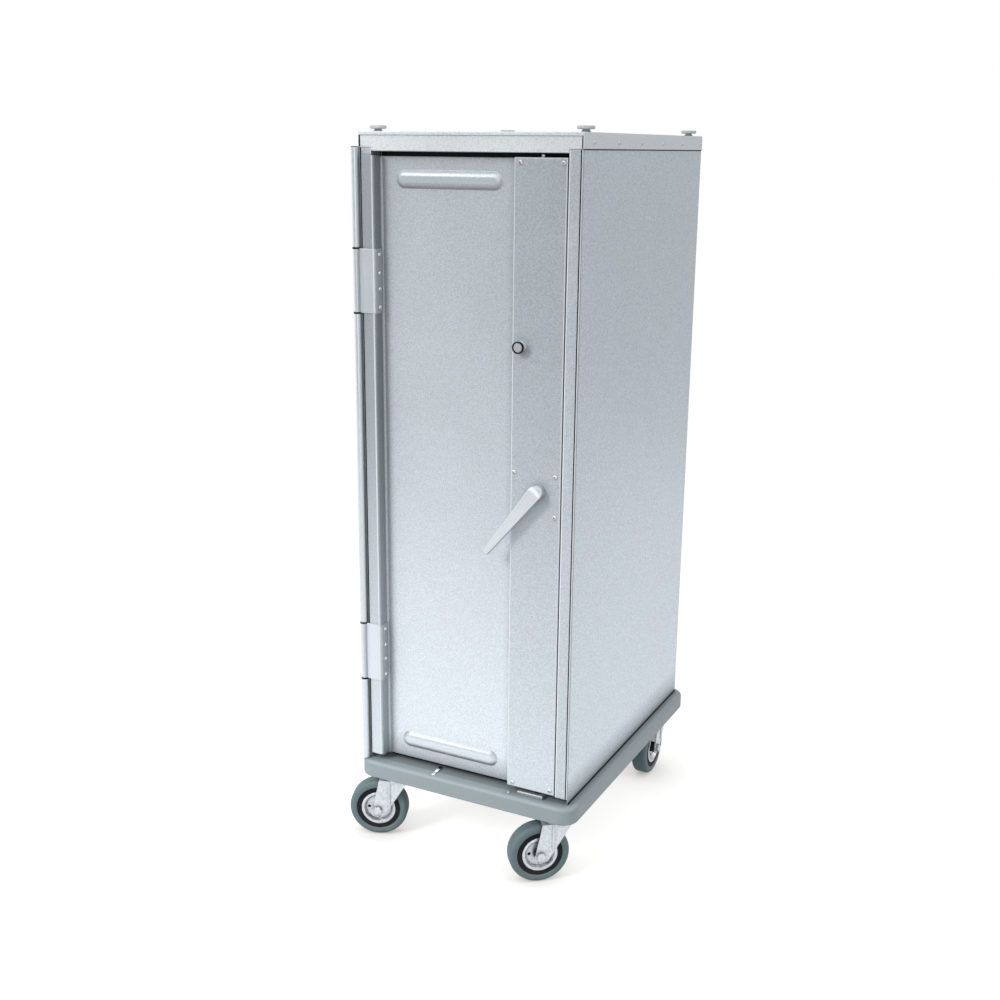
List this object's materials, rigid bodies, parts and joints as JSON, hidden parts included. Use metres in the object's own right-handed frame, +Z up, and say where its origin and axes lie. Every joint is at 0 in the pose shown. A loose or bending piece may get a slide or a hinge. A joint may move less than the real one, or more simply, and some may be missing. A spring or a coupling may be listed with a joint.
{
  "type": "medical tray trolley",
  "caption": "Tall closed cabinet trolley of satin aluminium for sterile trays, with a wrap-round hinged door, lever lock driving bolts, bumper rail base and swivel casters",
  "frame": {"origin": "on the floor, under the centre of the cabinet's footprint", "axes": "+X to the right seen from the door side, +Y to the rear, +Z up; the door faces -Y"},
  "size_m": [0.5315, 0.6887, 1.4757],
  "materials": {
    "aluminium_sheet": "satin, fine brushed grain",
    "aluminium_profile": "satin anodised",
    "cast_aluminium": "satin, tumbled casting",
    "bumper_grey": "smooth matt",
    "deck_grey": "matt powder coat",
    "bright_steel": "bright drawn",
    "zinc": "bright zinc plate",
    "tyre_grey": "matt grey elastic rubber",
    "core_black": "matt moulded",
    "seal_rubber": "matt",
    "buffer_rubber": "matt"
  },
  "bodies": {
    "cabinet": {"bumper_rail": "bumper_grey", "base_deck": "deck_grey", "chassis_plate": "deck_grey", "left_wall": "aluminium_sheet", "right_wall": "aluminium_sheet", "rear_wall": "aluminium_sheet", "left_post": "aluminium_sheet", "right_post": "aluminium_sheet", "header": "aluminium_sheet", "top_seal": "seal_rubber", "roof_cap": "aluminium_sheet", "roof_studs": "bumper_grey", "floor_tray": "aluminium_sheet", "bottom_seal": "seal_rubber", "left_runners": "aluminium_profile", "right_runners": "aluminium_profile", "lower_fixed_leaf": "aluminium_profile", "middle_fixed_leaf": "aluminium_profile", "upper_fixed_leaf": "aluminium_profile", "hinge_pin": "bright_steel", "bottom_keeper": "bright_steel", "top_keeper": "bright_steel", "front_left_caster_plate": "zinc", "front_right_caster_plate": "zinc", "rear_left_caster_plate": "zinc", "rear_right_caster_plate": "zinc"},
    "door": {"door_skin": "aluminium_sheet", "hinge_stile": "aluminium_sheet", "lock_cover": "aluminium_sheet", "lower_door_leaf": "aluminium_profile", "upper_door_leaf": "aluminium_profile", "lock_case": "zinc", "rod_guides": "zinc", "buffer_cup": "bright_steel", "buffer_pad": "buffer_rubber"},
    "handle": {"lever_handle": "cast_aluminium", "lock_spindle": "bright_steel"},
    "top_bolt": {"top_rod": "bright_steel"},
    "bottom_bolt": {"bottom_rod": "bright_steel"},
    "front_left_swivel": {"front_left_fork": "zinc", "front_left_axle": "zinc"},
    "front_left_wheel": {"front_left_tyre": "tyre_grey", "front_left_wheel_core": "core_black", "front_left_wheel_discs": "zinc"},
    "front_right_swivel": {"front_right_fork": "zinc", "front_right_axle": "zinc"},
    "front_right_wheel": {"front_right_tyre": "tyre_grey", "front_right_wheel_core": "core_black", "front_right_wheel_discs": "zinc"},
    "rear_left_swivel": {"rear_left_fork": "zinc", "rear_left_axle": "zinc"},
    "rear_left_wheel": {"rear_left_tyre": "tyre_grey", "rear_left_wheel_core": "core_black", "rear_left_wheel_discs": "zinc"},
    "rear_right_swivel": {"rear_right_fork": "zinc", "rear_right_axle": "zinc"},
    "rear_right_wheel": {"rear_right_tyre": "tyre_grey", "rear_right_wheel_core": "core_black", "rear_right_wheel_discs": "zinc"}
  },
  "joints": [
    {"name": "door_hinge", "type": "hinge", "parent": "cabinet", "child": "door", "pos_m": [-0.2345, -0.322, 0.8], "axis": [0, 0, -1], "range_deg": [0, 265]},
    {"name": "handle_turn", "type": "hinge", "parent": "door", "child": "handle", "pos_m": [0.155, -0.316, 0.818], "axis": [0, 1, 0], "range_deg": [0, 90]},
    {"name": "top_bolt_slide", "type": "slide", "parent": "door", "child": "top_bolt", "axis": [0, 0, 1], "range_m": [0, 0.0193]},
    {"name": "bottom_bolt_slide", "type": "slide", "parent": "door", "child": "bottom_bolt", "axis": [0, 0, -1], "range_m": [0, 0.0193]},
    {"name": "front_left_swivel_turn", "type": "hinge", "parent": "cabinet", "child": "front_left_swivel", "pos_m": [-0.189, -0.281, 0.1385], "axis": [0, 0, 1], "continuous": true},
    {"name": "front_left_wheel_roll", "type": "hinge", "parent": "front_left_swivel", "child": "front_left_wheel", "pos_m": [-0.2215, -0.294, 0.0625], "axis": [0.3714, -0.9285, 0], "continuous": true},
    {"name": "front_right_swivel_turn", "type": "hinge", "parent": "cabinet", "child": "front_right_swivel", "pos_m": [0.189, -0.281, 0.1385], "axis": [0, 0, 1], "continuous": true},
    {"name": "front_right_wheel_roll", "type": "hinge", "parent": "front_right_swivel", "child": "front_right_wheel", "pos_m": [0.16199, -0.30326, 0.0625], "axis": [0.6361, -0.7716, 0], "continuous": true},
    {"name": "rear_left_swivel_turn", "type": "hinge", "parent": "cabinet", "child": "rear_left_swivel", "pos_m": [-0.189, 0.281, 0.1385], "axis": [0, 0, 1], "continuous": true},
    {"name": "rear_left_wheel_roll", "type": "hinge", "parent": "rear_left_swivel", "child": "rear_left_wheel", "pos_m": [-0.20755, 0.25132, 0.0625], "axis": [0.848, -0.5299, 0], "continuous": true},
    {"name": "rear_right_swivel_turn", "type": "hinge", "parent": "cabinet", "child": "rear_right_swivel", "pos_m": [0.189, 0.281, 0.1385], "axis": [0, 0, 1], "continuous": true},
    {"name": "rear_right_wheel_roll", "type": "hinge", "parent": "rear_right_swivel", "child": "rear_right_wheel", "pos_m": [0.18961, 0.24601, 0.0625], "axis": [0.9998, 0.0175, 0], "continuous": true}
  ],
  "couplings": [
    {"joint": "top_bolt_slide", "follows": "handle_turn", "m_per_rad": 0.012},
    {"joint": "bottom_bolt_slide", "follows": "handle_turn", "m_per_rad": 0.012}
  ]
}
